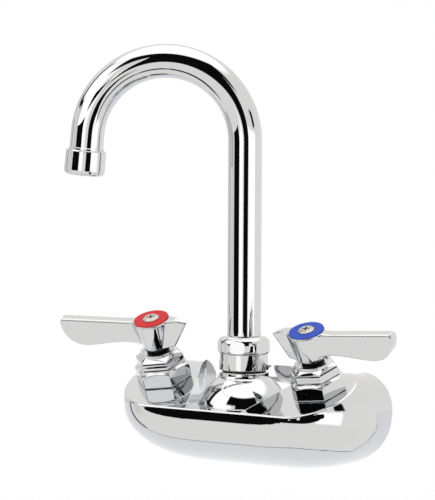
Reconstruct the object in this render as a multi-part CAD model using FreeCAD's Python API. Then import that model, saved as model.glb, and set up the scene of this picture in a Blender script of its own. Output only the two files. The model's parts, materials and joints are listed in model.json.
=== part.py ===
import FreeCAD, Part
import math
import os

os.makedirs("parts", exist_ok=True)

# All sizes are millimetres. Origin: centre of the wall face, on the inlet line.
# +Y goes into the wall, -Y comes out to the user, +Z is up, +X is to the user's right.

# Faucet body casting
VALVE_SPACING = 101.6
BODY_HALF_WIDTH = 78.4
BODY_DEPTH = 63.0
WIDEST_Z = 8.9
UPPER_HEIGHT = 20.3
LOWER_HEIGHT = 35.4
UPPER_CORNER = 20.3
END_SHRINK = 36.4
BOW_FULLNESS = 2.35
SIDE_FULLNESS = 2.2
BOTTOM_FULLNESS = 3.2
KEEL_HALF = 12.0
WALL = 3.4
RIDGE_ROUND = 1.2

# Sloping valve platforms, which rise from a ridge just above the widest line, and the trough
# between them. The valves stand on the platforms at PLATFORM_Y.
TILT = 22.2
RIDGE_LIFT = 0.3584
PLATFORM_Y = -33.15
PLATFORM_Z = WIDEST_Z + RIDGE_LIFT + (BODY_DEPTH + PLATFORM_Y) * math.tan(math.radians(TILT))
PLATFORM_EASE = 30.0
TROUGH_FLOOR_Z = 9.5
TROUGH_FRONT_HALF = 15.0
TROUGH_SPREAD = 0.42
TROUGH_SWEEP_Y = -30.0
TROUGH_BACK_Y = -1.5

# Spout hub
SPOUT_Y = -30.0
HUB_R = 26.5
SHOULDER_R = 13.8
SHOULDER_H = 2.9768
SHOULDER_TOP = 28.1
SHOULDER_BLEND = 3.0
NECK_R = 12.35
NECK_TOP = 37.0
SPOUT_BORE_R = 9.80
SPOUT_BORE_FLOOR = 10.0
SPOUT_PORT_R = 6.5

# Spout nut
NUT_LIFT = 1.2
NUT_SKIRT_R = 13.8
NUT_SKIRT_H = 9.2
NUT_R = 14.8
NUT_BARREL_H = 10.0
NUT_FLATS = 28.4
NUT_TURN = 16.0
NUT_TOP_ROUND = 4.5
NUT_BOTTOM_ROUND = 1.6

# Spout ferrule with its flange, bearing ring and O-ring grooves
FLANGE_H = 3.4
BEARING_H = 3.2
FERRULE_R = SPOUT_BORE_R - 0.15
FERRULE_BOTTOM = 13.0
GROOVE_R = 7.9
GROOVE_HALF = 1.4
ORING_Z = (19.0, 27.0)

# Spout
TUBE_R = 9.65
TUBE_WALL = 1.5
TUBE_START = 38.5
SPRING_Z = 156.9
BEND_R = 44.0
BEND_ANGLE = 175.4
OUTLET_STRAIGHT = 8.0
SPOUT_AIM = 62.4

# Outlet: adaptor collar and threaded spigot, aerator shell over it
OUTLET_COLLAR_H = 1.3
SPIGOT_R = 10.3
SPIGOT_H = 6.0
SHELL_R = 11.5
SHELL_H = 14.3
SHELL_LIP_R = 8.8
CORE_HOLES = 7

# Cross waterway from the valves to the spout hub
WATERWAY_R = 4.5
WATERWAY_Z = 3.5
WATERWAY_END = 37.0

# Valves: sizes from the platform upwards, along the valve's own axis
HEX_FLATS = 27.8
HEX_TOP = 9.4
WASHER_FACE_H = 0.45
TIER_FLATS = 21.4
TIER_TOP = 16.9
HOT_NUT_TURN = -103.0
COLD_NUT_TURN = -108.0
VALVE_BORE_R = 11.0
VALVE_BORE_FLOOR = -13.2
GASKET_R = 13.1
GASKET_H = 1.2
BARREL_LENGTH = 12.0
STEM_R = 4.55
COLLAR_R = 6.3
COLLAR_SEAT = 2.0
DISC_R = 8.2
DISC_H = 2.1

# Lever handles
HANDLE_BOTTOM = 20.3
HANDLE_TOP = 36.9
HUB_TOP_R = 10.7
HUB_BOTTOM_R = 7.2
BLADE_REACH = 55.0
BLADE_RISE = 2.4
BLADE_HALF = 3.1
BLADE_DEPTH = 14.2
BLADE_BLEND = 4.0
TAIL_REACH = 21.5
TAIL_LEVEL = 12.5
TAIL_DROP = 2.3
TAIL_HALF = 6.4
TAIL_BLEND = 3.0
EDGE_ROUND = 1.0
HOT_TURN = 9.5
COLD_TURN = 1.0

# Index ring and screw, let into the top of the handle
RING_R = 9.8
RING_TOP = 37.4
RING_SEAT = 1.0
SCREW_HEAD_R = 4.6
SCREW_R = 1.75
SCREW_LIFT = 1.1

# Inlets: half-inch threaded sockets in two bosses at the back
BOSS_R = 13.8
BOSS_FACE_Y = -1.0
SOCKET_R = 9.3
SOCKET_DEPTH = 14.0
INLET_PORT_R = 5.0

GAP = 0.05

X_AXIS = FreeCAD.Vector(1, 0, 0)
Y_AXIS = FreeCAD.Vector(0, 1, 0)
Z_AXIS = FreeCAD.Vector(0, 0, 1)


def vec(x, y, z):
    return FreeCAD.Vector(x, y, z)


def save(shape, name):
    solid = shape
    if len(shape.Solids) == 1:
        solid = shape.Solids[0]
    solid.exportStep("parts/" + name + ".step")


def ring(outer, inner, z0, z1):
    tube = Part.makeCylinder(outer, z1 - z0, vec(0, 0, z0))
    return tube.cut(Part.makeCylinder(inner, z1 - z0 + 2, vec(0, 0, z0 - 1)))


def turned(points):
    wire = Part.makePolygon([vec(r, 0, z) for r, z in points + points[:1]])
    return Part.Face(wire).revolve(vec(0, 0, 0), Z_AXIS, 360)


def hexagon_points(across_flats, z, turn):
    corner = across_flats / math.sqrt(3)
    angles = [math.radians(turn + 60 * k) for k in range(7)]
    return [vec(corner * math.cos(a), corner * math.sin(a), z) for a in angles]


def hexagon(across_flats, z0, z1, turn):
    outline = Part.makePolygon(hexagon_points(across_flats, z0, turn))
    return Part.Face(outline).extrude(vec(0, 0, z1 - z0))


def edges_where(shape, wanted):
    return [edge for edge in shape.Edges if wanted(edge.BoundBox)]


# O-ring squeezed between its groove and its bore
def squeezed_ring(inner, outer, z):
    soft = (outer - inner) * 0.28
    half = (outer - inner) / 2
    return turned([
        (inner, z - half + soft), (inner + soft, z - half), (outer - soft, z - half), (outer, z - half + soft),
        (outer, z + half - soft), (outer - soft, z + half), (inner + soft, z + half), (inner, z + half - soft),
    ])


# Body hull: outlines that shrink like a rounded bow from the wall towards the user
def hull_outline(angle, inset):
    reach = math.cos(math.radians(angle)) ** (2 / BOW_FULLNESS)
    y = -(BODY_DEPTH - inset) * math.sin(math.radians(angle)) ** (2 / BOW_FULLNESS)
    half = BODY_HALF_WIDTH - inset - END_SHRINK * (1 - reach)
    low = (LOWER_HEIGHT - inset) * reach
    high = UPPER_HEIGHT - inset
    corner = UPPER_CORNER * reach
    flat = half - corner

    def lower(a):
        x = KEEL_HALF + (half - KEEL_HALF) * math.cos(math.radians(a)) ** (2 / BOTTOM_FULLNESS)
        return vec(x, y, WIDEST_Z - low * math.sin(math.radians(a)) ** (2 / SIDE_FULLNESS))

    def upper(a):
        return vec(flat + corner * math.cos(math.radians(a)), y, WIDEST_Z + high * math.sin(math.radians(a)))

    def curve(points):
        spline = Part.BSplineCurve()
        spline.interpolate(Points=points, Parameters=[float(k) for k in range(len(points))])
        return spline.toShape()

    def mirrored(points):
        return [vec(-p.x, p.y, p.z) for p in reversed(points)]

    under = [lower(a) for a in (90, 85, 79, 72, 64, 55, 46, 37, 28, 19, 10, 0)]
    side = under + [upper(11.25 * k) for k in range(1, 9)]
    keel = Part.makeLine(vec(-KEEL_HALF, y, WIDEST_Z - low), vec(KEEL_HALF, y, WIDEST_Z - low))
    top = Part.makeLine(vec(flat, y, WIDEST_Z + high), vec(-flat, y, WIDEST_Z + high))
    return Part.Wire([keel, curve(side), top, curve(mirrored(side))])


# Outlines stand at even steps along the bow, so that the loft runs fair
def bow_stations(count, last=88.0, steps=400):
    power = 2 / BOW_FULLNESS
    angles = [last * k / steps for k in range(steps + 1)]
    points = []
    for angle in angles:
        a = math.radians(angle)
        points.append((BODY_DEPTH * math.sin(a) ** power, LOWER_HEIGHT * math.cos(a) ** power))
    travelled = [0.0]
    for k in range(steps):
        travelled.append(travelled[-1] + math.dist(points[k], points[k + 1]))
    picked = []
    for k in range(count + 1):
        target = travelled[-1] * k / count
        nearest = min(range(steps + 1), key=lambda i: abs(travelled[i] - target))
        picked.append(angles[nearest])
    return picked


def hull(inset):
    return Part.makeLoft([hull_outline(a, inset) for a in bow_stations(10)], True, False)


# Everything above the sloping platforms, eased level again near the wall
def above_platforms(drop):
    slope = math.radians(TILT)
    top = WIDEST_Z + UPPER_HEIGHT - drop + 0.05
    ease = PLATFORM_EASE
    rise = ease * (1 - math.cos(slope))
    drop_z = drop / math.cos(slope)
    start_y = PLATFORM_Y + (top - rise - PLATFORM_Z + drop_z) / math.tan(slope)
    front_y = -75.0
    front_z = PLATFORM_Z - drop_z + (front_y - PLATFORM_Y) * math.tan(slope)
    start = vec(-100, start_y, top - rise)
    end = vec(-100, start_y + ease * math.sin(slope), top)
    half = slope / 2
    middle = vec(-100, end.y - ease * math.sin(half), top - ease * (1 - math.cos(half)))
    edges = [
        Part.makeLine(vec(-100, front_y, front_z), start),
        Part.Arc(start, middle, end).toShape(),
        Part.makeLine(end, vec(-100, 20, top)),
        Part.makeLine(vec(-100, 20, top), vec(-100, 20, 90)),
        Part.makeLine(vec(-100, 20, 90), vec(-100, front_y, 90)),
        Part.makeLine(vec(-100, front_y, 90), vec(-100, front_y, front_z)),
    ]
    return Part.Face(Part.Wire(edges)).extrude(vec(200, 0, 0))


# Trough between the platforms: a wedge in plan, a level floor that sweeps up at the wall
def trough(grow):
    top = 60.0
    floor = TROUGH_FLOOR_Z - grow
    front_y = -BODY_DEPTH - 5
    front_half = TROUGH_FRONT_HALF + grow
    back_half = front_half + TROUGH_SPREAD * (BODY_DEPTH + 15)
    plan = Part.makePolygon([
        vec(-front_half, front_y, floor - 5),
        vec(front_half, front_y, floor - 5),
        vec(back_half, 10, floor - 5),
        vec(-back_half, 10, floor - 5),
        vec(-front_half, front_y, floor - 5),
    ])
    wedge = Part.Face(plan).extrude(vec(0, 0, top))
    back_y = TROUGH_BACK_Y + grow
    sweep_start = vec(-90, TROUGH_SWEEP_Y, floor)
    sweep_middle = vec(-90, back_y - 11.5, floor + 4.6)
    sweep_end = vec(-90, back_y, WIDEST_Z + UPPER_HEIGHT)
    edges = [
        Part.makeLine(vec(-90, front_y, floor), sweep_start),
        Part.Arc(sweep_start, sweep_middle, sweep_end).toShape(),
        Part.makeLine(sweep_end, vec(-90, back_y, top)),
        Part.makeLine(vec(-90, back_y, top), vec(-90, front_y, top)),
        Part.makeLine(vec(-90, front_y, top), vec(-90, front_y, floor)),
    ]
    profile = Part.Face(Part.Wire(edges)).extrude(vec(180, 0, 0))
    return wedge.common(profile)


# Height at which the dome meets the shoulder, and the centre of the ball that puts it there
def shoulder_foot():
    return SHOULDER_TOP - SHOULDER_H


def hub_centre_z():
    return shoulder_foot() - math.sqrt(HUB_R ** 2 - SHOULDER_R ** 2)


def hub_dome(radius, floor):
    ball = Part.makeSphere(radius, vec(0, SPOUT_Y, hub_centre_z()))
    box = Part.makeBox(80, 60, 60, vec(-40, -BODY_DEPTH + 2, floor))
    return ball.common(box)


# Dome that flows up into the round shoulder under the spout nut
def spout_hub():
    dome = hub_dome(HUB_R, TROUGH_FLOOR_Z - 3)
    shoulder = at_spout(Part.makeCylinder(SHOULDER_R, SHOULDER_TOP + 4, vec(0, 0, -4)))
    hub = dome.fuse(shoulder)
    foot = shoulder_foot()
    crease = edges_where(hub, lambda b: abs(b.ZMin - foot) < 0.05 and abs(b.ZMax - foot) < 0.05)
    return hub.makeFillet(SHOULDER_BLEND, crease)


# Hull cut down to the sloping platforms, with a rounded ridge round their front and sides
def platform_block():
    block = hull(0).cut(above_platforms(0))
    ridge_z = WIDEST_Z + RIDGE_LIFT
    ridge = edges_where(block, lambda b: b.YMin < 0.1 - BODY_DEPTH and b.ZMin > ridge_z - 0.1 and b.XLength > 5)
    return block.makeFillet(min(RIDGE_ROUND, BODY_DEPTH / 50), ridge)


def at_valve(shape, side):
    placed = shape.copy()
    placed.rotate(vec(0, 0, 0), X_AXIS, TILT)
    placed.translate(vec(side * VALVE_SPACING / 2, PLATFORM_Y, PLATFORM_Z))
    return placed


def at_spout(shape):
    placed = shape.copy()
    placed.translate(vec(0, SPOUT_Y, 0))
    return placed


def at_inlet(shape, side):
    placed = shape.copy()
    placed.rotate(vec(0, 0, 0), X_AXIS, -90)
    placed.translate(vec(side * VALVE_SPACING / 2, 0, 0))
    return placed


# Casting: outer form less its hollow, then the chamber walls, and last every bore
def faucet_body():
    outside = platform_block().cut(trough(0)).fuse(spout_hub())
    inside = hull(WALL).cut(above_platforms(WALL)).cut(trough(WALL))
    inside = inside.fuse(hub_dome(HUB_R - WALL, TROUGH_FLOOR_Z - WALL - 4))
    neck = at_spout(Part.makeCylinder(NECK_R, NECK_TOP + 4, vec(0, 0, -4)))
    socket_floor = BOSS_FACE_Y - SOCKET_DEPTH
    valve_x = VALVE_SPACING / 2
    walls = [Part.makeCylinder(WATERWAY_R + WALL, 2 * valve_x - 12, vec(6 - valve_x, SPOUT_Y, WATERWAY_Z), X_AXIS)]
    bores = [
        at_spout(Part.makeCylinder(SPOUT_BORE_R, 60, vec(0, 0, SPOUT_BORE_FLOOR))),
        at_spout(Part.makeCylinder(SPOUT_PORT_R, SPOUT_BORE_FLOOR + 2)),
        Part.makeCylinder(WATERWAY_R, 2 * WATERWAY_END, vec(-WATERWAY_END, SPOUT_Y, WATERWAY_Z), X_AXIS),
    ]
    for side in (-1, 1):
        walls.append(at_valve(Part.makeCylinder(VALVE_BORE_R + WALL, 20, vec(0, 0, -20)), side))
        walls.append(at_inlet(Part.makeCylinder(BOSS_R, 30, vec(0, 0, BOSS_FACE_Y - 30)), side))
        bores.append(at_valve(Part.makeCylinder(VALVE_BORE_R, 40, vec(0, 0, VALVE_BORE_FLOOR)), side))
        bores.append(at_valve(Part.makeCylinder(GASKET_R + 0.1, 40, vec(0, 0, -GASKET_H)), side))
        bores.append(at_valve(Part.makeCylinder(4.0, 12, vec(0, 0, VALVE_BORE_FLOOR - 10)), side))
        link_start = vec(side * (WATERWAY_END - 2), SPOUT_Y, WATERWAY_Z)
        bores.append(Part.makeCylinder(3.0, 15, link_start, vec(side * 8, 0, 9)))
        bores.append(at_inlet(Part.makeCylinder(SOCKET_R, SOCKET_DEPTH + 5, vec(0, 0, socket_floor)), side))
        bores.append(at_inlet(Part.makeCylinder(INLET_PORT_R, 14, vec(0, 0, socket_floor - 13)), side))
    body = outside.cut(inside)
    for wall in walls:
        body = body.fuse(wall.common(outside))
    body = body.fuse(neck)
    for bore in bores:
        body = body.cut(bore)
    return body.removeSplitter()


# Spout nut: plain skirt below, rounded barrel with six flats above
def spout_nut():
    bottom = SHOULDER_TOP + NUT_LIFT
    step = bottom + NUT_SKIRT_H
    top = step + NUT_BARREL_H
    skirt = Part.makeCylinder(NUT_SKIRT_R, NUT_SKIRT_H + 2, vec(0, 0, bottom))
    barrel = Part.makeCylinder(NUT_R, NUT_BARREL_H, vec(0, 0, step))
    barrel = barrel.makeFillet(NUT_TOP_ROUND, edges_where(barrel, lambda b: b.ZMin > top - 0.1))
    barrel = barrel.makeFillet(NUT_BOTTOM_ROUND, edges_where(barrel, lambda b: b.ZMax < step + 0.1))
    barrel = barrel.common(hexagon(NUT_FLATS, step - 1, top + 1, NUT_TURN))
    nut = skirt.fuse(barrel)
    seat = bearing_bottom() + BEARING_H + GAP
    nut = nut.cut(Part.makeCylinder(NECK_R + GAP, seat - bottom + 1, vec(0, 0, bottom - 1)))
    return nut.cut(Part.makeCylinder(TUBE_R + 0.1, top, vec(0, 0, bottom)))


def flange_bottom():
    return NECK_TOP + 0.1


def bearing_bottom():
    return flange_bottom() + FLANGE_H + GAP


# Split ring between the flange of the ferrule and the seat inside the nut
def spout_bearing_ring():
    whole = ring(NECK_R - 0.15, TUBE_R + 0.2, bearing_bottom(), bearing_bottom() + BEARING_H)
    return whole.cut(Part.makeBox(20, 1.2, BEARING_H + 2, vec(0, -0.6, bearing_bottom() - 1)))


# Ferrule: chamfered nose, two grooves for O-rings and a flange that carries the tube
def spout_ferrule():
    lower, upper = ORING_Z
    flange_top = flange_bottom() + FLANGE_H
    return turned([
        (SPOUT_PORT_R, FERRULE_BOTTOM), (FERRULE_R - 0.5, FERRULE_BOTTOM), (FERRULE_R, FERRULE_BOTTOM + 1.0),
        (FERRULE_R, lower - GROOVE_HALF), (GROOVE_R, lower - GROOVE_HALF),
        (GROOVE_R, lower + GROOVE_HALF), (FERRULE_R, lower + GROOVE_HALF),
        (FERRULE_R, upper - GROOVE_HALF), (GROOVE_R, upper - GROOVE_HALF),
        (GROOVE_R, upper + GROOVE_HALF), (FERRULE_R, upper + GROOVE_HALF),
        (FERRULE_R, flange_bottom()), (NECK_R - 0.25, flange_bottom()), (NECK_R - 0.25, flange_top),
        (TUBE_R, flange_top), (TUBE_R, TUBE_START), (SPOUT_PORT_R, TUBE_START),
    ])


def spout_oring(z):
    return squeezed_ring(GROOVE_R + GAP, SPOUT_BORE_R - GAP, z)


def bend_place(shape):
    placed = shape.copy()
    placed.rotate(vec(0, 0, 0), Z_AXIS, -90 - SPOUT_AIM)
    placed.translate(vec(0, SPOUT_Y, 0))
    return placed


# The spout is drawn with its reach along +X and turned to its rest direction afterwards
def outlet_frame(shape):
    placed = shape.copy()
    placed.rotate(vec(0, 0, 0), Y_AXIS, BEND_ANGLE)
    angle = math.radians(BEND_ANGLE)
    centre = vec(BEND_R, 0, SPRING_Z)
    end = centre + vec(-BEND_R * math.cos(angle), 0, BEND_R * math.sin(angle))
    placed.translate(end)
    return placed


def spout_rod(radius):
    leg = Part.makeCylinder(radius, SPRING_Z - TUBE_START, vec(0, 0, TUBE_START))
    circle = Part.Wire(Part.makeCircle(radius, vec(0, 0, SPRING_Z), Z_AXIS))
    bend = Part.Face(circle).revolve(vec(BEND_R, 0, SPRING_Z), Y_AXIS, BEND_ANGLE)
    tail = outlet_frame(Part.makeCylinder(radius, OUTLET_STRAIGHT))
    return leg.fuse([bend, tail])


def spout_tube():
    tube = spout_rod(TUBE_R).cut(spout_rod(TUBE_R - TUBE_WALL))
    return tube.removeSplitter()


# Collar and threaded spigot brazed to the end of the tube
def outlet_adaptor():
    z = OUTLET_STRAIGHT
    step = z + OUTLET_COLLAR_H
    collar_r = TUBE_R + 0.4
    return outlet_frame(turned([
        (7.0, z), (collar_r - 0.3, z), (collar_r, z + 0.4), (collar_r, step),
        (SPIGOT_R, step), (SPIGOT_R, step + SPIGOT_H), (7.0, step + SPIGOT_H),
    ]))


def aerator_shell():
    z = OUTLET_STRAIGHT + OUTLET_COLLAR_H + GAP
    end = z + SHELL_H
    inner = SPIGOT_R + GAP
    return outlet_frame(turned([
        (inner, z), (SHELL_R - 0.4, z), (SHELL_R, z + 0.5), (SHELL_R + 0.2, end - 3.0), (SHELL_R - 0.1, end - 1.2),
        (SHELL_R - 1.2, end - 0.2), (SHELL_LIP_R + 0.2, end), (SHELL_LIP_R, end - 0.6), (SHELL_LIP_R, end - 1.8),
        (inner, end - 1.8),
    ]))


def spigot_end():
    return OUTLET_STRAIGHT + OUTLET_COLLAR_H + SPIGOT_H


def aerator_washer():
    return outlet_frame(ring(SPIGOT_R - 0.1, 7.6, spigot_end() + GAP, spigot_end() + 1.4))


# Plug of the aerator: a flange on the washer and a nozzle with a ring of holes
def aerator_core():
    z = spigot_end() + 1.45
    core = Part.makeCylinder(SPIGOT_R - 0.2, 1.6, vec(0, 0, z))
    core = core.fuse(Part.makeCylinder(SHELL_LIP_R - 0.2, 4.6, vec(0, 0, z)))
    for k in range(CORE_HOLES):
        angle = 2 * math.pi * k / CORE_HOLES
        core = core.cut(Part.makeCylinder(1.2, 8, vec(5.4 * math.cos(angle), 5.4 * math.sin(angle), z - 1)))
    return outlet_frame(core)


# Round block with a sloping shoulder, which trims the corners of a hexagon like a turned nut
def shouldered(radius, top, fall):
    wide = 20.0
    return turned([(0, -1), (wide, -1), (wide, top - fall * (wide - radius)), (radius, top), (0, top)])


# Bonnet: hexagon on a washer face, a smaller flared hexagon above, a threaded barrel below
def bonnet(turn):
    base = hexagon(HEX_FLATS, WASHER_FACE_H, HEX_TOP + 2, turn)
    base = base.common(shouldered(HEX_FLATS / 2 - 1.3, HEX_TOP, 0.59))
    face = Part.makeCylinder(HEX_FLATS / 2 - 0.6, WASHER_FACE_H + 1)
    flare = ((6.0, HEX_TOP - 1.1), (4.5, HEX_TOP - 0.8), (3.5, HEX_TOP - 0.2), (2.7, HEX_TOP + 0.8), (0.0, TIER_TOP))
    outlines = [Part.Wire(Part.makePolygon(hexagon_points(TIER_FLATS + more, z, turn))) for more, z in flare]
    tier = Part.makeLoft(outlines, True, False)
    tier = tier.common(shouldered(TIER_FLATS / 2 - 0.3, TIER_TOP, 0.66))
    barrel = Part.makeCylinder(VALVE_BORE_R - GAP, BARREL_LENGTH, vec(0, 0, -BARREL_LENGTH))
    body = base.fuse([face, tier, barrel])
    body = body.cut(Part.makeCylinder(DISC_R + 0.4, BARREL_LENGTH - 1, vec(0, 0, -BARREL_LENGTH)))
    body = body.cut(Part.makeCylinder(STEM_R + GAP, 40, vec(0, 0, -BARREL_LENGTH)))
    return body.cut(Part.makeCylinder(COLLAR_R + 0.1, COLLAR_SEAT + 1, vec(0, 0, TIER_TOP - COLLAR_SEAT)))


def bonnet_gasket():
    return ring(GASKET_R, VALVE_BORE_R + 0.1, GAP - GASKET_H, -GAP)


def quarter_ports(disc, inner, outer, z0, z1):
    for start in (0, 180):
        sector = ring(outer, inner, z0 - 1, z1 + 1)
        wedge = Part.makeCylinder(outer + 1, z1 - z0 + 2, vec(0, 0, z0 - 1), Z_AXIS, 70)
        wedge.rotate(vec(0, 0, 0), Z_AXIS, start + 10)
        disc = disc.cut(sector.common(wedge))
    return disc


# Stem foot, moving disc, fixed disc and seat seal are stacked down from here to the chamber floor
STACK_TOP = -5.05


def moving_disc():
    top = STACK_TOP - GAP
    disc = Part.makeCylinder(DISC_R, DISC_H, vec(0, 0, top - DISC_H))
    return quarter_ports(disc, 2.8, 6.4, top - DISC_H, top)


def fixed_disc():
    top = STACK_TOP - 2 * GAP - DISC_H
    disc = Part.makeCylinder(DISC_R + 0.3, DISC_H, vec(0, 0, top - DISC_H))
    return quarter_ports(disc, 2.8, 6.4, top - DISC_H, top)


def seat_seal():
    top = STACK_TOP - 3 * GAP - 2 * DISC_H
    floor = VALVE_BORE_FLOOR + GAP
    middle = (top + floor) / 2
    return turned([
        (6.9, floor), (8.3, floor), (8.3, top), (6.9, top), (6.9, middle + 0.9), (7.3, middle), (6.9, middle - 0.9),
    ])


def stem():
    foot_top = -1.2
    return turned([
        (0, STACK_TOP), (DISC_R, STACK_TOP), (DISC_R, foot_top), (STEM_R, foot_top), (STEM_R, 4.8), (2.9, 4.8),
        (2.9, 7.2), (STEM_R, 7.2), (STEM_R, HANDLE_BOTTOM + 1.7), (4.0, HANDLE_BOTTOM + 2.3),
        (4.0, HANDLE_TOP - 3.9), (SCREW_R + GAP, HANDLE_TOP - 3.9), (SCREW_R + GAP, 24.0), (0, 24.0),
    ])


def stem_oring():
    return squeezed_ring(2.9 + GAP, STEM_R, 6.0)


def stem_collar():
    return ring(COLLAR_R, STEM_R + 0.15, TIER_TOP - COLLAR_SEAT + GAP, HANDLE_BOTTOM - 0.3)


def spline(points):
    curve = Part.BSplineCurve()
    curve.interpolate(points)
    return curve.toShape()


# Side view of the blade: a rising top edge, a rounded tip and a belly that thins towards the hub.
# Its points stand in shares of the blade's depth and of the hub's radius.
def lever_blade():
    top = HANDLE_TOP
    tip = BLADE_REACH
    depth = BLADE_DEPTH
    deep = top - depth
    corner = vec(tip - 0.07 * depth, 0, top + BLADE_RISE)
    level_end = vec(1.5 * HUB_TOP_R, 0, top)
    heel = vec(0.37 * HUB_TOP_R, 0, deep - 0.085 * depth)
    under = [
        vec(tip, 0, corner.z - 0.09 * depth), vec(tip - 0.05 * depth, 0, top - 0.32 * depth),
        vec(tip - 0.3 * depth, 0, deep + 0.25 * depth), vec(tip - 0.7 * depth, 0, deep + 0.03 * depth),
        vec(tip - 1.23 * depth, 0, deep), vec(2.34 * HUB_TOP_R, 0, deep + 0.09 * depth),
        vec(1.5 * HUB_TOP_R, 0, deep + 0.106 * depth), heel,
    ]
    outline = [
        Part.makeLine(vec(0, 0, top), level_end),
        Part.makeLine(level_end, corner),
        Part.makeLine(corner, under[0]),
        spline(under),
        Part.makeLine(heel, vec(0, 0, heel.z)),
        Part.makeLine(vec(0, 0, heel.z), vec(0, 0, top)),
    ]
    blade = Part.Face(Part.Wire(outline)).extrude(vec(0, 2 * BLADE_HALF, 0))
    blade.translate(vec(0, -BLADE_HALF, 0))
    return blade


# Pointed tail behind the hub, level near the hub and then arched down to its tip
def lever_tail():
    top = HANDLE_TOP
    bottom = HANDLE_BOTTOM + 0.2
    reach = TAIL_REACH
    tip_half = 0.22 * TAIL_HALF
    side_y = -2 * TAIL_HALF
    plan = Part.makePolygon([
        vec(0, TAIL_HALF, 0), vec(-reach - 1, tip_half, 0), vec(-reach - 1, -tip_half, 0), vec(0, -TAIL_HALF, 0),
        vec(0, TAIL_HALF, 0),
    ])
    run = reach - TAIL_LEVEL
    radius = (run ** 2 + TAIL_DROP ** 2) / (2 * TAIL_DROP)
    half = math.asin(run / radius) / 2
    start = vec(-TAIL_LEVEL, side_y, top)
    middle = vec(-TAIL_LEVEL - radius * math.sin(half), side_y, top - radius * (1 - math.cos(half)))
    end = vec(-reach, side_y, top - TAIL_DROP)
    corners = [
        end, vec(-0.6 * reach, side_y, bottom + 1.0), vec(-0.19 * reach, side_y, bottom), vec(0, side_y, bottom),
        vec(0, side_y, top), start,
    ]
    side = Part.Wire([Part.Arc(start, middle, end).toShape()] + Part.makePolygon(corners).Edges)
    tail = Part.Face(plan).extrude(vec(0, 0, 2 * top))
    return tail.common(Part.Face(side).extrude(vec(0, -2 * side_y, 0)))


# Lever handle, drawn pointing along +X, with the blade and the tail blended into the conical hub
def lever_handle():
    top = HANDLE_TOP
    tip = BLADE_REACH
    tall = (top - HANDLE_BOTTOM) / 2
    hub = Part.makeCone(HUB_BOTTOM_R, HUB_TOP_R, top - HANDLE_BOTTOM, vec(0, 0, HANDLE_BOTTOM))
    handle = hub.fuse([lever_blade(), lever_tail()]).removeSplitter()
    blade_roots = edges_where(handle, lambda b: b.ZLength > tall and 0.6 * HUB_BOTTOM_R < b.XMin < b.XMax < HUB_TOP_R)
    handle = handle.makeFillet(BLADE_BLEND, blade_roots)
    tail_roots = edges_where(handle, lambda b: b.ZLength > tall and -HUB_TOP_R < b.XMin < b.XMax < -0.4 * HUB_BOTTOM_R)
    handle = handle.makeFillet(TAIL_BLEND, tail_roots)
    rim = edges_where(handle, lambda b: b.ZMin > top - 0.01 and b.XLength > 0.01)
    tail_edges = edges_where(handle, lambda b: b.XMax < 0.1 - TAIL_LEVEL and b.XLength > TAIL_DROP)
    corner_x = tip - 0.07 * BLADE_DEPTH - 0.1
    tip_edges = edges_where(handle, lambda b: b.XMin > corner_x and b.XMax > tip - 0.01 and b.YLength < 0.01)
    handle = handle.makeFillet(EDGE_ROUND, rim + tail_edges + tip_edges)
    handle = handle.cut(Part.makeCylinder(RING_R + 0.1, RING_SEAT + 1, vec(0, 0, top - RING_SEAT)))
    handle = handle.cut(Part.makeCylinder(4.0 + GAP, top - 3.2 - HANDLE_BOTTOM, vec(0, 0, HANDLE_BOTTOM)))
    handle = handle.cut(Part.makeCylinder(STEM_R + GAP, 2.7, vec(0, 0, HANDLE_BOTTOM - 0.4)))
    return handle.cut(Part.makeCylinder(SCREW_R + 0.25, 40, vec(0, 0, HANDLE_BOTTOM)))


def index_ring():
    return ring(RING_R, SCREW_HEAD_R + 0.1, HANDLE_TOP - RING_SEAT + GAP, RING_TOP)


# Domed screw with a cross recess
def handle_screw():
    under = HANDLE_TOP - RING_SEAT + GAP
    top = RING_TOP + SCREW_LIFT
    screw = turned([
        (0, 26.0), (SCREW_R, 26.0), (SCREW_R, under), (SCREW_HEAD_R, under), (SCREW_HEAD_R, top - 0.8),
        (SCREW_HEAD_R - 0.7, top - 0.3), (SCREW_HEAD_R - 2.2, top), (0, top),
    ])
    for turn in (0, 90):
        slot = Part.makeBox(4.4, 0.9, 2.0, vec(-2.2, -0.45, top - 1.3))
        slot.rotate(vec(0, 0, 0), Z_AXIS, turn + 20)
        screw = screw.cut(slot)
    return screw


def turned_handle(shape, side):
    placed = shape.copy()
    turn = COLD_TURN if side > 0 else 180 + HOT_TURN
    placed.rotate(vec(0, 0, 0), Z_AXIS, turn)
    return at_valve(placed, side)


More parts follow.
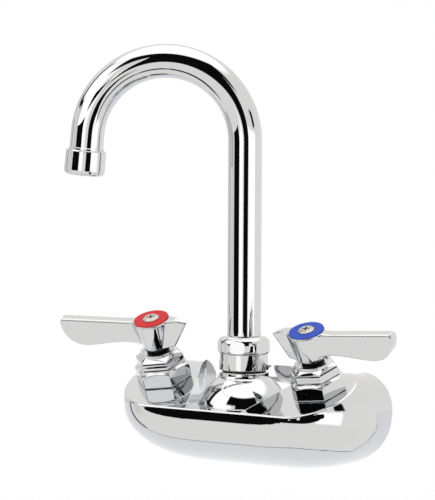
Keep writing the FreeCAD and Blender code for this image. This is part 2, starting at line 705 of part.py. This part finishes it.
save(faucet_body(), "faucet_body")
save(at_spout(spout_nut()), "spout_nut")
save(at_spout(spout_bearing_ring()), "spout_bearing_ring")
save(bend_place(spout_ferrule()), "spout_ferrule")
save(bend_place(spout_oring(ORING_Z[0])), "spout_oring_lower")
save(bend_place(spout_oring(ORING_Z[1])), "spout_oring_upper")
save(bend_place(spout_tube()), "spout_tube")
save(bend_place(outlet_adaptor()), "outlet_adaptor")
save(bend_place(aerator_shell()), "aerator_shell")
save(bend_place(aerator_washer()), "aerator_washer")
save(bend_place(aerator_core()), "aerator_core")
for side, temperature, nut_turn in ((-1, "hot", HOT_NUT_TURN), (1, "cold", COLD_NUT_TURN)):
    save(at_valve(bonnet(nut_turn), side), temperature + "_bonnet")
    save(at_valve(bonnet_gasket(), side), temperature + "_bonnet_gasket")
    save(at_valve(fixed_disc(), side), temperature + "_fixed_disc")
    save(at_valve(seat_seal(), side), temperature + "_seat_seal")
    save(at_valve(stem_collar(), side), temperature + "_stem_collar")
    save(turned_handle(moving_disc(), side), temperature + "_moving_disc")
    save(turned_handle(stem(), side), temperature + "_stem")
    save(turned_handle(stem_oring(), side), temperature + "_stem_oring")
    save(turned_handle(lever_handle(), side), temperature + "_lever_handle")
    save(turned_handle(index_ring(), side), temperature + "_index_ring")
    save(turned_handle(handle_screw(), side), temperature + "_handle_screw")
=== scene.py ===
import bpy
import json
import math
from mathutils import Matrix, Vector


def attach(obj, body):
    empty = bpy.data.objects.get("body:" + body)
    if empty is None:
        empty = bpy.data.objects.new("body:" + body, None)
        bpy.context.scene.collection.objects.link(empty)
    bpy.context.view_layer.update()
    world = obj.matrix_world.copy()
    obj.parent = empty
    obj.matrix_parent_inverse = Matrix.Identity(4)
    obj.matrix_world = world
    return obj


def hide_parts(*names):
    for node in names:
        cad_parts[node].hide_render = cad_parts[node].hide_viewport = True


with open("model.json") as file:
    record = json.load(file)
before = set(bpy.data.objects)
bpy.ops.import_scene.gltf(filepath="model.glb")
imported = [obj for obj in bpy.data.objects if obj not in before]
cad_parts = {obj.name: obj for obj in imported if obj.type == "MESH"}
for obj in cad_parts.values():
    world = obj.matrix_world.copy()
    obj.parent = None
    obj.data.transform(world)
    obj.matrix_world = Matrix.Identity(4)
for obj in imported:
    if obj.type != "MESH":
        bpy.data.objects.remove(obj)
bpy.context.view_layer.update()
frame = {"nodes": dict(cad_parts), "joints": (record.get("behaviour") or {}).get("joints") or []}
nodes = frame["nodes"]


# Body casting
# Cast brass, ground and buffed by hand, then plated with nickel and chrome, so it works like a mirror
# with slightly soft edges. Two threaded bosses behind it take the supply pipes and hold it to the wall.
CHROME = "#c8cacd"
# Near-black brown: painted shade on the neck, in the gap under the spout nut
NECK_SHADE_BROWN = "#1c140c"
HAZE_WIDTH = 0.0111  # one patch of haze, in metres like every size here
RIPPLE_WIDTH = 0.0182  # one wave of the ripple
SPOUT_AXIS_Y = -0.030
# Bounds of the painted shade on the neck: how far it reaches out from the spout's axis, and its lowest
# height
SHADED_NECK_R = 0.0132  # round the spout's axis
SHADED_NECK_FOOT_Z = 0.02815


def linear(hex_colour):
    channels = [int(hex_colour[k:k + 2], 16) / 255 for k in (1, 3, 5)]
    return tuple(c / 12.92 if c <= 0.04045 else ((c + 0.055) / 1.055) ** 2.4 for c in channels) + (1.0,)


def add_node(tree, kind, settings=None, links=None):
    node = tree.nodes.new(kind)
    for name, value in (settings or {}).items():
        if isinstance(name, int) or name in node.inputs:
            node.inputs[name].default_value = value
        else:
            setattr(node, name, value)
    for name, source in (links or {}).items():
        tree.links.new(source, node.inputs[name])
    return node


def new_material(name):
    material = bpy.data.materials.new(name)
    material.use_nodes = True
    material.node_tree.nodes.clear()
    return material


def dress(material, *node_names):
    for name in node_names:
        mesh = nodes[name].data
        mesh.materials.clear()
        mesh.materials.append(material)


def paint_neck_shade(tree, place, surface):
    # Dark brown painted shade on the neck, in the gap under the spout nut, and chrome elsewhere
    split = add_node(tree, "ShaderNodeSeparateXYZ", None, {"Vector": place})
    offset = add_node(
        tree,
        "ShaderNodeVectorMath",
        {"operation": "SUBTRACT", 1: (0.0, SPOUT_AXIS_Y, 0.0)},
        {0: place},
    )
    flat = add_node(
        tree,
        "ShaderNodeVectorMath",
        {"operation": "MULTIPLY", 1: (1.0, 1.0, 0.0)},
        {0: offset.outputs["Vector"]},
    )
    away = add_node(tree, "ShaderNodeVectorMath", {"operation": "LENGTH"}, {0: flat.outputs["Vector"]})
    near = add_node(
        tree,
        "ShaderNodeMath",
        {"operation": "LESS_THAN", 1: SHADED_NECK_R},
        {0: away.outputs["Value"]},
    )
    high = add_node(
        tree,
        "ShaderNodeMath",
        {"operation": "GREATER_THAN", 1: SHADED_NECK_FOOT_Z},
        {0: split.outputs["Z"]},
    )
    both = add_node(
        tree,
        "ShaderNodeMath",
        {"operation": "MULTIPLY"},
        {0: near.outputs[0], 1: high.outputs[0]},
    )
    colour = add_node(
        tree,
        "ShaderNodeMix",
        {"data_type": "RGBA", 6: linear(CHROME), 7: linear(NECK_SHADE_BROWN)},
        {0: both.outputs[0]},
    )
    tree.links.new(colour.outputs[2], surface.inputs["Base Color"])


def chrome_plate(name, edge, wave, shaded_neck=False):
    # Bright chrome over buffed nickel: a faintly blue mirror that gives back some 60 percent of the
    # light. Edge is the width to which the buffing wheel softens corners, and wave the height of the
    # ripple that it leaves. Its scratches are too fine to show, so they are drawn as patches of haze.
    material = new_material(name)
    tree = material.node_tree
    place = add_node(tree, "ShaderNodeTexCoord").outputs["Object"]
    haze = add_node(
        tree,
        "ShaderNodeTexNoise",
        {"Scale": 1 / HAZE_WIDTH, "Detail": 4.0},
        {"Vector": place},
    )
    rough = add_node(
        tree,
        "ShaderNodeMapRange",
        {"From Min": 0.35, "From Max": 0.7, "To Min": 0.005, "To Max": 0.025},
        {"Value": haze.outputs["Fac"]},
    )
    ripple = add_node(
        tree,
        "ShaderNodeTexNoise",
        {"Scale": 1 / RIPPLE_WIDTH, "Detail": 1.0},
        {"Vector": place},
    )
    bumped = add_node(
        tree,
        "ShaderNodeBump",
        {"Strength": 1.0, "Distance": wave},
        {"Height": ripple.outputs["Fac"]},
    )
    if edge:
        rounded = add_node(tree, "ShaderNodeBevel", {"samples": 12, "Radius": edge})
        tree.links.new(rounded.outputs["Normal"], bumped.inputs["Normal"])
    surface = add_node(
        tree,
        "ShaderNodeBsdfPrincipled",
        {"Base Color": linear(CHROME), "Metallic": 1.0},
        {"Roughness": rough.outputs["Result"], "Normal": bumped.outputs["Normal"]},
    )
    # Paints shade on the neck, in the gap under the spout nut
    if shaded_neck:
        paint_neck_shade(tree, place, surface)
    add_node(tree, "ShaderNodeOutputMaterial", None, {"Surface": surface.outputs["BSDF"]})
    return material


# The body's chrome, with painted shade on the neck under the spout nut
cast_chrome = chrome_plate("chrome_plate_on_casting", edge=0.0009, wave=0.000018, shaded_neck=True)
dress(cast_chrome, "faucet_body")


# Valve bonnets
# Forged brass nuts, machined and chrome plated, screwed down on the platforms with a wrench. Each ends
# in a low rim round a shallow recess. A red fibre gasket under each one seals the valve chamber.
RIM_HEIGHT = 0.0014
RIM_OUTER_R = 0.01035
RIM_INNER_R = 0.0085
RIM_CHAMFER = 0.00025
RIM_FOOT = 0.0001
RIM_FOOT_INSET = 0.0002
RIM_FACETS = 96


def turned_ring(name, outline):
    # A closed ring turned about the Z axis, from the radii and heights of its section
    verts = []
    for k in range(RIM_FACETS):
        turn = 2 * math.pi * k / RIM_FACETS
        for radius, height in outline:
            verts.append((radius * math.cos(turn), radius * math.sin(turn), height))
    faces = []
    count = len(outline)
    for k in range(RIM_FACETS):
        here = k * count
        there = (k + 1) % RIM_FACETS * count
        for j in range(count):
            after = (j + 1) % count
            faces.append((here + j, there + j, there + after, here + after))
    mesh = bpy.data.meshes.new(name)
    mesh.from_pydata(verts, [], faces)
    return mesh


def rimmed_bonnet(tag, material):
    # The rim is joined to a copy of the bonnet, with its foot sunk into the bonnet's flat top
    bonnet = nodes[tag + "_bonnet"]
    joint = next(j for j in frame["joints"] if j["name"] == tag + "_handle_turn")
    spot = Vector(joint["pos_m"])
    axis = Vector(joint["axis"]).normalized()
    if axis.z < 0:
        axis = -axis
    top = max((v.co - spot).dot(axis) for v in bonnet.data.vertices)
    section = (
        (RIM_INNER_R, -RIM_FOOT),
        (RIM_OUTER_R - RIM_FOOT_INSET, -RIM_FOOT),
        (RIM_OUTER_R, 0.0),
        (RIM_OUTER_R, RIM_HEIGHT - RIM_CHAMFER),
        (RIM_OUTER_R - RIM_CHAMFER, RIM_HEIGHT),
        (RIM_INNER_R + RIM_CHAMFER, RIM_HEIGHT),
        (RIM_INNER_R, RIM_HEIGHT - RIM_CHAMFER),
    )
    rim = bpy.data.objects.new(tag + "_rim", turned_ring(tag + "_rim", section))
    tilt = axis.to_track_quat("Z", "Y").to_matrix().to_4x4()
    rim.data.transform(Matrix.Translation(spot + axis * top) @ tilt)
    whole = bpy.data.objects.new(tag + "_bonnet_with_rim", bonnet.data.copy())
    for piece in (rim, whole):
        bpy.context.scene.collection.objects.link(piece)
    rim.data.shade_smooth()
    rim.data.set_sharp_from_angle(angle=math.radians(30))
    with bpy.context.temp_override(active_object=whole, selected_editable_objects=[whole, rim]):
        bpy.ops.object.join()
    whole.data.materials.clear()
    whole.data.materials.append(material)
    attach(whole, "faucet")
    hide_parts(bonnet.name)


def plain_finish(name, colour, roughness, grain, metallic=0.0, mottle=0.12, bump=0.00001, gloss=0.5):
    # A base colour, a roughness and a bump that all follow the same grain, of which grain is the width
    # and bump the height. The real grain is too fine to show, so it is drawn coarser.
    material = new_material(name)
    tree = material.node_tree
    place = add_node(tree, "ShaderNodeTexCoord").outputs["Object"]
    cloud = add_node(tree, "ShaderNodeTexNoise", {"Scale": 1 / grain, "Detail": 5.0}, {"Vector": place})
    noise = cloud.outputs["Fac"]
    rough = add_node(
        tree,
        "ShaderNodeMapRange",
        {"To Min": roughness * 0.75, "To Max": min(1.0, roughness * 1.3)},
        {"Value": noise},
    )
    shade = add_node(
        tree,
        "ShaderNodeMapRange",
        {"To Min": 1.0 - mottle, "To Max": 1.0 + mottle},
        {"Value": noise},
    )
    tint = add_node(
        tree,
        "ShaderNodeVectorMath",
        {"operation": "SCALE", 0: linear(colour)[:3]},
        {"Scale": shade.outputs["Result"]},
    )
    relief = add_node(tree, "ShaderNodeBump", {"Strength": 1.0, "Distance": bump}, {"Height": noise})
    surface = add_node(
        tree,
        "ShaderNodeBsdfPrincipled",
        {"Metallic": metallic, "Specular IOR Level": gloss},
        {
            "Base Color": tint.outputs["Vector"],
            "Roughness": rough.outputs["Result"],
            "Normal": relief.outputs["Normal"],
        },
    )
    add_node(tree, "ShaderNodeOutputMaterial", None, {"Surface": surface.outputs["BSDF"]})
    return material


# Chrome on machined faces: the same mirror, with crisper edges and hardly any ripple
machined_chrome = chrome_plate("chrome_plate_on_machined_brass", edge=0.0006, wave=0.000006)
for tag in ("hot", "cold"):
    rimmed_bonnet(tag, machined_chrome)

# Vulcanised fibre: matt and dark red
fibre = plain_finish("pressed_red_fibre", "#7a2a20", 0.8, grain=0.0011)
dress(fibre, "hot_bonnet_gasket", "cold_bonnet_gasket")


# Ceramic cartridges
# Two lapped white ceramic discs per valve, the upper one turned by the stem over the fixed one.
# A rubber seat presses them together, and an O-ring seals the stem.

# Lapped alumina: off-white, even and half glossy
ceramic = plain_finish("lapped_alumina", "#e9e7e0", 0.22, grain=0.00067, mottle=0.03, bump=0.000002)
dress(ceramic, "hot_fixed_disc", "cold_fixed_disc", "hot_moving_disc", "cold_moving_disc")

# Moulded nitrile rubber: black with a dull sheen
rubber = plain_finish("black_nitrile_rubber", "#141414", 0.55, grain=0.0014)
dress(rubber, "hot_seat_seal", "cold_seat_seal", "hot_stem_oring", "cold_stem_oring")


# Stems and collars
# Brass stems turned on a lathe, each with a glossy black acetal collar that fills the recess
# between the bonnet and the handle.

# Turned brass: bare yellow metal with a soft gloss
brass = plain_finish("turned_brass", "#c9a55a", 0.28, grain=0.0025, metallic=1.0)
dress(brass, "hot_stem", "cold_stem")

# Moulded acetal: so black and smooth that it looks like a gap with a small highlight
acetal = plain_finish("black_acetal", "#030303", 0.3, grain=0.002, bump=0.000003)
dress(acetal, "hot_stem_collar", "cold_stem_collar")


# Lever handles
# Die-cast zinc levers, buffed and chrome plated like the body. They drop over the stem's square end.

# Chrome on zinc: the same mirror, with softer edges than machined brass and less ripple than the body
handle_chrome = chrome_plate("chrome_plate_on_zinc", edge=0.0007, wave=0.000012)
dress(handle_chrome, "hot_lever_handle", "cold_lever_handle")


# Index rings and handle screws
# Moulded plastic rings, red for hot and blue for cold, lie in a recess of the handle. A stainless
# screw goes through each ring and handle into the stem.

# Coloured plastic: full colours under a weak gloss, a little mottled
ring_look = {"grain": 0.00167, "mottle": 0.1, "bump": 0.000004, "gloss": 0.15}
red = plain_finish("red_index_plastic", "#d42629", 0.45, **ring_look)
dress(red, "hot_index_ring")
blue = plain_finish("blue_index_plastic", "#2d50bd", 0.45, **ring_look)
dress(blue, "cold_index_ring")

# Stainless steel: a warm grey metal, duller than the chrome round it
steel = plain_finish("stainless_steel_screw", "#b4b0aa", 0.22, grain=0.002, metallic=1.0)
dress(steel, "hot_handle_screw", "cold_handle_screw")


# Spout nut, ferrule and seals
# The chromed brass nut holds the spout down on the neck of the body and lets it swivel on a split
# nylon ring. The brass ferrule turns in the body's bore on two rubber O-rings.
dress(machined_chrome, "spout_nut")
dress(brass, "spout_ferrule")
dress(rubber, "spout_oring_lower", "spout_oring_upper")

# Moulded nylon: milky white and satin
nylon = plain_finish("moulded_nylon", "#d9d6cc", 0.5, grain=0.0033, mottle=0.05)
dress(nylon, "spout_bearing_ring")


# Spout tube and outlet adaptor
# Drawn brass tube bent on a mandrel, polished along its length and chrome plated. A threaded
# adaptor is brazed to its end.

# Chrome on drawn tube: the cleanest mirror of all, with no edges to soften
tube_chrome = chrome_plate("chrome_plate_on_drawn_tube", edge=0.0, wave=0.000004)
dress(tube_chrome, "spout_tube", "outlet_adaptor")


# Aerator
# A chromed shell screwed on the adaptor over a rubber washer, with a white plastic core whose holes
# break the stream up.
dress(machined_chrome, "aerator_shell")
dress(rubber, "aerator_washer")
dress(nylon, "aerator_core")


# Camera
# A long lens, a little above the spout and to the user's right. AIM is a point on the spout's axis
# that lies at AIM_PX of the picture, where the scale is PX_PER_M.
AZIMUTH = math.radians(32.33)
PITCH = math.radians(5.69)
ROLL = math.radians(-0.276)
FOCAL_PX = 5167.0
PX_PER_M = 1797.0
PICTURE_W, PICTURE_H = 435, 500
SENSOR_MM = 36.0
AIM = Vector((0.0, SPOUT_AXIS_Y, 0.068))
AIM_PX = (244.5, 300.0)


def place_camera():
    # The camera's own axes in the frame, and then the spot from which AIM falls on AIM_PX
    back = Vector((
        math.sin(AZIMUTH) * math.cos(PITCH),
        -math.cos(AZIMUTH) * math.cos(PITCH),
        math.sin(PITCH),
    ))
    level = Vector((math.cos(AZIMUTH), math.sin(AZIMUTH), 0.0))
    upright = back.cross(level)
    right = level * math.cos(ROLL) - upright * math.sin(ROLL)
    up = upright * math.cos(ROLL) + level * math.sin(ROLL)
    distance = FOCAL_PX / PX_PER_M
    off_x = (AIM_PX[0] - PICTURE_W / 2) / FOCAL_PX * distance
    off_y = (PICTURE_H / 2 - AIM_PX[1]) / FOCAL_PX * distance
    spot = AIM + back * distance - right * off_x - up * off_y
    data = bpy.data.cameras.new("view")
    data.sensor_width = SENSOR_MM
    data.lens = FOCAL_PX / PICTURE_H * SENSOR_MM
    camera = bpy.data.objects.new("view", data)
    bpy.context.scene.collection.objects.link(camera)
    camera.matrix_world = Matrix.Translation(spot) @ Matrix((right, up, back)).transposed().to_4x4()
    bpy.context.scene.camera = camera


place_camera()


# Studio
# A white tent with dark gaps: chrome has no colour of its own, so what it mirrors is its look. The tent
# is brighter than 1 to mirrors, because chrome gives back only some 60 percent of it, and every other
# ray meets an even white of 1. Far cards are painted on the tent by direction.
DARK = 0.005
GREY = 1.14
WHITE = 1.75
ROOF_FROM, ROOF_FULL = 44.0, 54.0  # elevations between which the tent turns from grey to white
FAR_CARDS = (
    # azimuth from the user's side towards +X and elevation, brightness, softness of the edge, in degrees
    ((-140, -92), (-28, 20), 0.90, 5.0),
    ((-72, -50), (-28, 20), 0.97, 4.0),
    ((-170, -135), (-12, 14), 1.64, 6.0),
    ((-6, 16), (-7.6, 9), WHITE, 1.5),
    ((104, 170), (-20, 10), 1.17, 10.0),
    ((55, 101), (-20, 2), WHITE, 2.0),
    ((90, 105), (5, 17), DARK, 1.5),
    ((-89, -83), (-44, 6), 0.14, 1.0),
    ((-75, -20), (16, 48), WHITE, 1.5),
    ((-90, -55), (15, 20), DARK, 2.0),
    ((-84, -72), (14, 48), DARK, 2.0),
    ((-20, 72), (32, 53), DARK, 2.0),
    ((-46, -3), (-1, 30), WHITE, 3.0),
    ((60, 70), (24, 34), DARK, 2.0),
)


def ray_angles(tree):
    # Where a ray meets the tent: azimuth and elevation in degrees
    direction = add_node(tree, "ShaderNodeTexCoord").outputs["Generated"]
    split = add_node(tree, "ShaderNodeSeparateXYZ", None, {"Vector": direction})
    front = add_node(tree, "ShaderNodeMath", {"operation": "MULTIPLY", 1: -1.0}, {0: split.outputs["Y"]})
    turn = add_node(
        tree,
        "ShaderNodeMath",
        {"operation": "ARCTAN2"},
        {0: split.outputs["X"], 1: front.outputs[0]},
    )
    rise = add_node(tree, "ShaderNodeMath", {"operation": "ARCSINE"}, {0: split.outputs["Z"]})
    angles = []
    for angle in (turn, rise):
        degrees = add_node(tree, "ShaderNodeMath", {"operation": "DEGREES"}, {0: angle.outputs[0]})
        angles.append(degrees.outputs[0])
    return angles


def card_mask(tree, angles, ranges, soft):
    # 1 inside both ranges of angle and 0 outside, with a soft edge all round
    mask = None
    for angle, (low, high) in zip(angles, ranges):
        for limit, before, after in ((low, 0.0, 1.0), (high, 1.0, 0.0)):
            ramp = add_node(
                tree,
                "ShaderNodeMapRange",
                {
                    "interpolation_type": "SMOOTHSTEP",
                    "From Min": limit - soft,
                    "From Max": limit + soft,
                    "To Min": before,
                    "To Max": after,
                },
                {"Value": angle},
            ).outputs["Result"]
            if mask is None:
                mask = ramp
            else:
                product = add_node(tree, "ShaderNodeMath", {"operation": "MULTIPLY"}, {0: mask, 1: ramp})
                mask = product.outputs[0]
    return mask


def studio_world():
    world = bpy.data.worlds.new("white_tent")
    world.use_nodes = True
    tree = world.node_tree
    tree.nodes.clear()
    angles = ray_angles(tree)
    roof = {"From Min": ROOF_FROM, "From Max": ROOF_FULL, "To Min": GREY, "To Max": WHITE}
    level = add_node(
        tree,
        "ShaderNodeMapRange",
        {"interpolation_type": "SMOOTHSTEP", **roof},
        {"Value": angles[1]},
    ).outputs["Result"]
    for azimuths, elevations, brightness, soft in FAR_CARDS:
        mask = card_mask(tree, angles, (azimuths, elevations), soft)
        level = add_node(tree, "ShaderNodeMix", {3: brightness}, {0: mask, 2: level}).outputs[0]
    path = add_node(tree, "ShaderNodeLightPath")
    mirrored = add_node(tree, "ShaderNodeBackground", {"Color": linear("#fffcf8")}, {"Strength": level})
    plain = add_node(tree, "ShaderNodeBackground", {"Color": linear("#ffffff"), "Strength": 1.0})
    either = add_node(
        tree,
        "ShaderNodeMixShader",
        None,
        {"Fac": path.outputs["Is Glossy Ray"], 1: plain.outputs[0], 2: mirrored.outputs[0]},
    )
    add_node(tree, "ShaderNodeOutputWorld", None, {"Surface": either.outputs[0]})
    bpy.context.scene.world = world


studio_world()


# Near cards
# Dark boards that stand round the faucet, and two bright windows in front of the low one. They are
# closer than the tent, so that each piece mirrors them at another place. Only mirrors see them.
NEAR_CARDS = (
    # name, brightness, distance in metres, then each corner's azimuth in degrees and height in metres
    ("flag_left", DARK, 1.5, ((-46, -0.121), (-7, -0.121), (-7, 0.250), (-46, 0.250))),
    (
        "flag_right",
        DARK,
        0.5,
        ((22, -0.005), (51, -0.012), (58, 0.520), (8, 0.520), (8, 0.180), (24, 0.160)),
    ),
    ("flag_top", DARK, 1.5, ((-8, 0.300), (9, 0.260), (9, 0.420), (-8, 0.520))),
)
LOW_CARDS = (
    # name, brightness, distance, left and right edge, lower and upper edge, all in metres
    ("flag_low", DARK, 0.200, (-0.196, 0.590), (-0.075, 0.001)),
    ("window_left", WHITE, 0.199, (0.012, 0.026), (-0.043, -0.031)),
    ("window_right", WHITE, 0.199, (0.086, 0.108), (-0.031, -0.018)),
)


def card(name, corners, brightness):
    mesh = bpy.data.meshes.new(name)
    mesh.from_pydata(corners, [], [tuple(range(len(corners)))])
    material = new_material(name + "_face")
    tree = material.node_tree
    light = add_node(tree, "ShaderNodeEmission", {"Strength": brightness})
    add_node(tree, "ShaderNodeOutputMaterial", None, {"Surface": light.outputs["Emission"]})
    mesh.materials.append(material)
    board = bpy.data.objects.new(name, mesh)
    bpy.context.scene.collection.objects.link(board)
    for ray in ("camera", "diffuse", "transmission", "volume_scatter", "shadow"):
        setattr(board, "visible_" + ray, False)


for name, brightness, distance, corners in NEAR_CARDS:
    places = []
    for azimuth, height in corners:
        turn = math.radians(azimuth)
        places.append((distance * math.sin(turn), SPOUT_AXIS_Y - distance * math.cos(turn), height))
    card(name, places, brightness)
for name, brightness, distance, (left, right), (low, high) in LOW_CARDS:
    y = SPOUT_AXIS_Y - distance
    card(name, ((left, y, low), (right, y, low), (right, y, high), (left, y, high)), brightness)


# Table top and floor
# The table top under the faucet has a thin dark edge that shows in the chrome as a line. Only mirrors
# see it. Every other ray meets a wide white floor at the same height.
FLOOR_Z = -0.10
FLOOR_HALF = 6.0
TABLE_BRIGHTNESS = 1.07
EDGE_BRIGHTNESS = 0.15
EDGE_WIDTH = 0.0025
EDGE_DROP = 0.0005
TABLE_LEFT_X = -0.8
TABLE_BACK_Y = 0.66
TABLE_BACK_RIGHT_X = 0.70
CORNER_X, CORNER_Y, CORNER_R = -0.010, 0.024, 0.085  # round front corner: its centre and radius
CORNER_STEPS = 9
SIDE_X, SIDE_Y = 0.076, 0.055  # where the straight side starts behind that corner


def table_card(name, grow, z, brightness):
    # Straight front edge, a round right corner, and a side that runs away to the back
    reach = CORNER_R + grow
    outline = [(TABLE_LEFT_X, CORNER_Y - reach)]
    for k in range(CORNER_STEPS):
        turn = math.radians(90 / CORNER_STEPS * k)
        outline.append((CORNER_X + reach * math.sin(turn), CORNER_Y - reach * math.cos(turn)))
    outline.append((SIDE_X + grow, SIDE_Y))
    outline.append((TABLE_BACK_RIGHT_X, TABLE_BACK_Y))
    outline.append((TABLE_LEFT_X, TABLE_BACK_Y))
    card(name, [(x, y, z) for x, y in outline], brightness)


def studio_floor():
    mesh = bpy.data.meshes.new("floor")
    signs = ((-1, -1), (1, -1), (1, 1), (-1, 1))
    mesh.from_pydata([(x * FLOOR_HALF, y * FLOOR_HALF, FLOOR_Z) for x, y in signs], [], [(0, 1, 2, 3)])
    floor = bpy.data.objects.new("floor", mesh)
    bpy.context.scene.collection.objects.link(floor)
    material = new_material("white_sweep")
    tree = material.node_tree
    surface = add_node(tree, "ShaderNodeBsdfDiffuse", {"Color": linear("#ffffff")})
    add_node(tree, "ShaderNodeOutputMaterial", None, {"Surface": surface.outputs["BSDF"]})
    mesh.materials.append(material)
    floor.visible_glossy = False


table_card("table_edge", EDGE_WIDTH, FLOOR_Z - EDGE_DROP, EDGE_BRIGHTNESS)
table_card("table_top", 0.0, FLOOR_Z, TABLE_BRIGHTNESS)
studio_floor()
bpy.context.scene.view_settings.view_transform = "Standard"
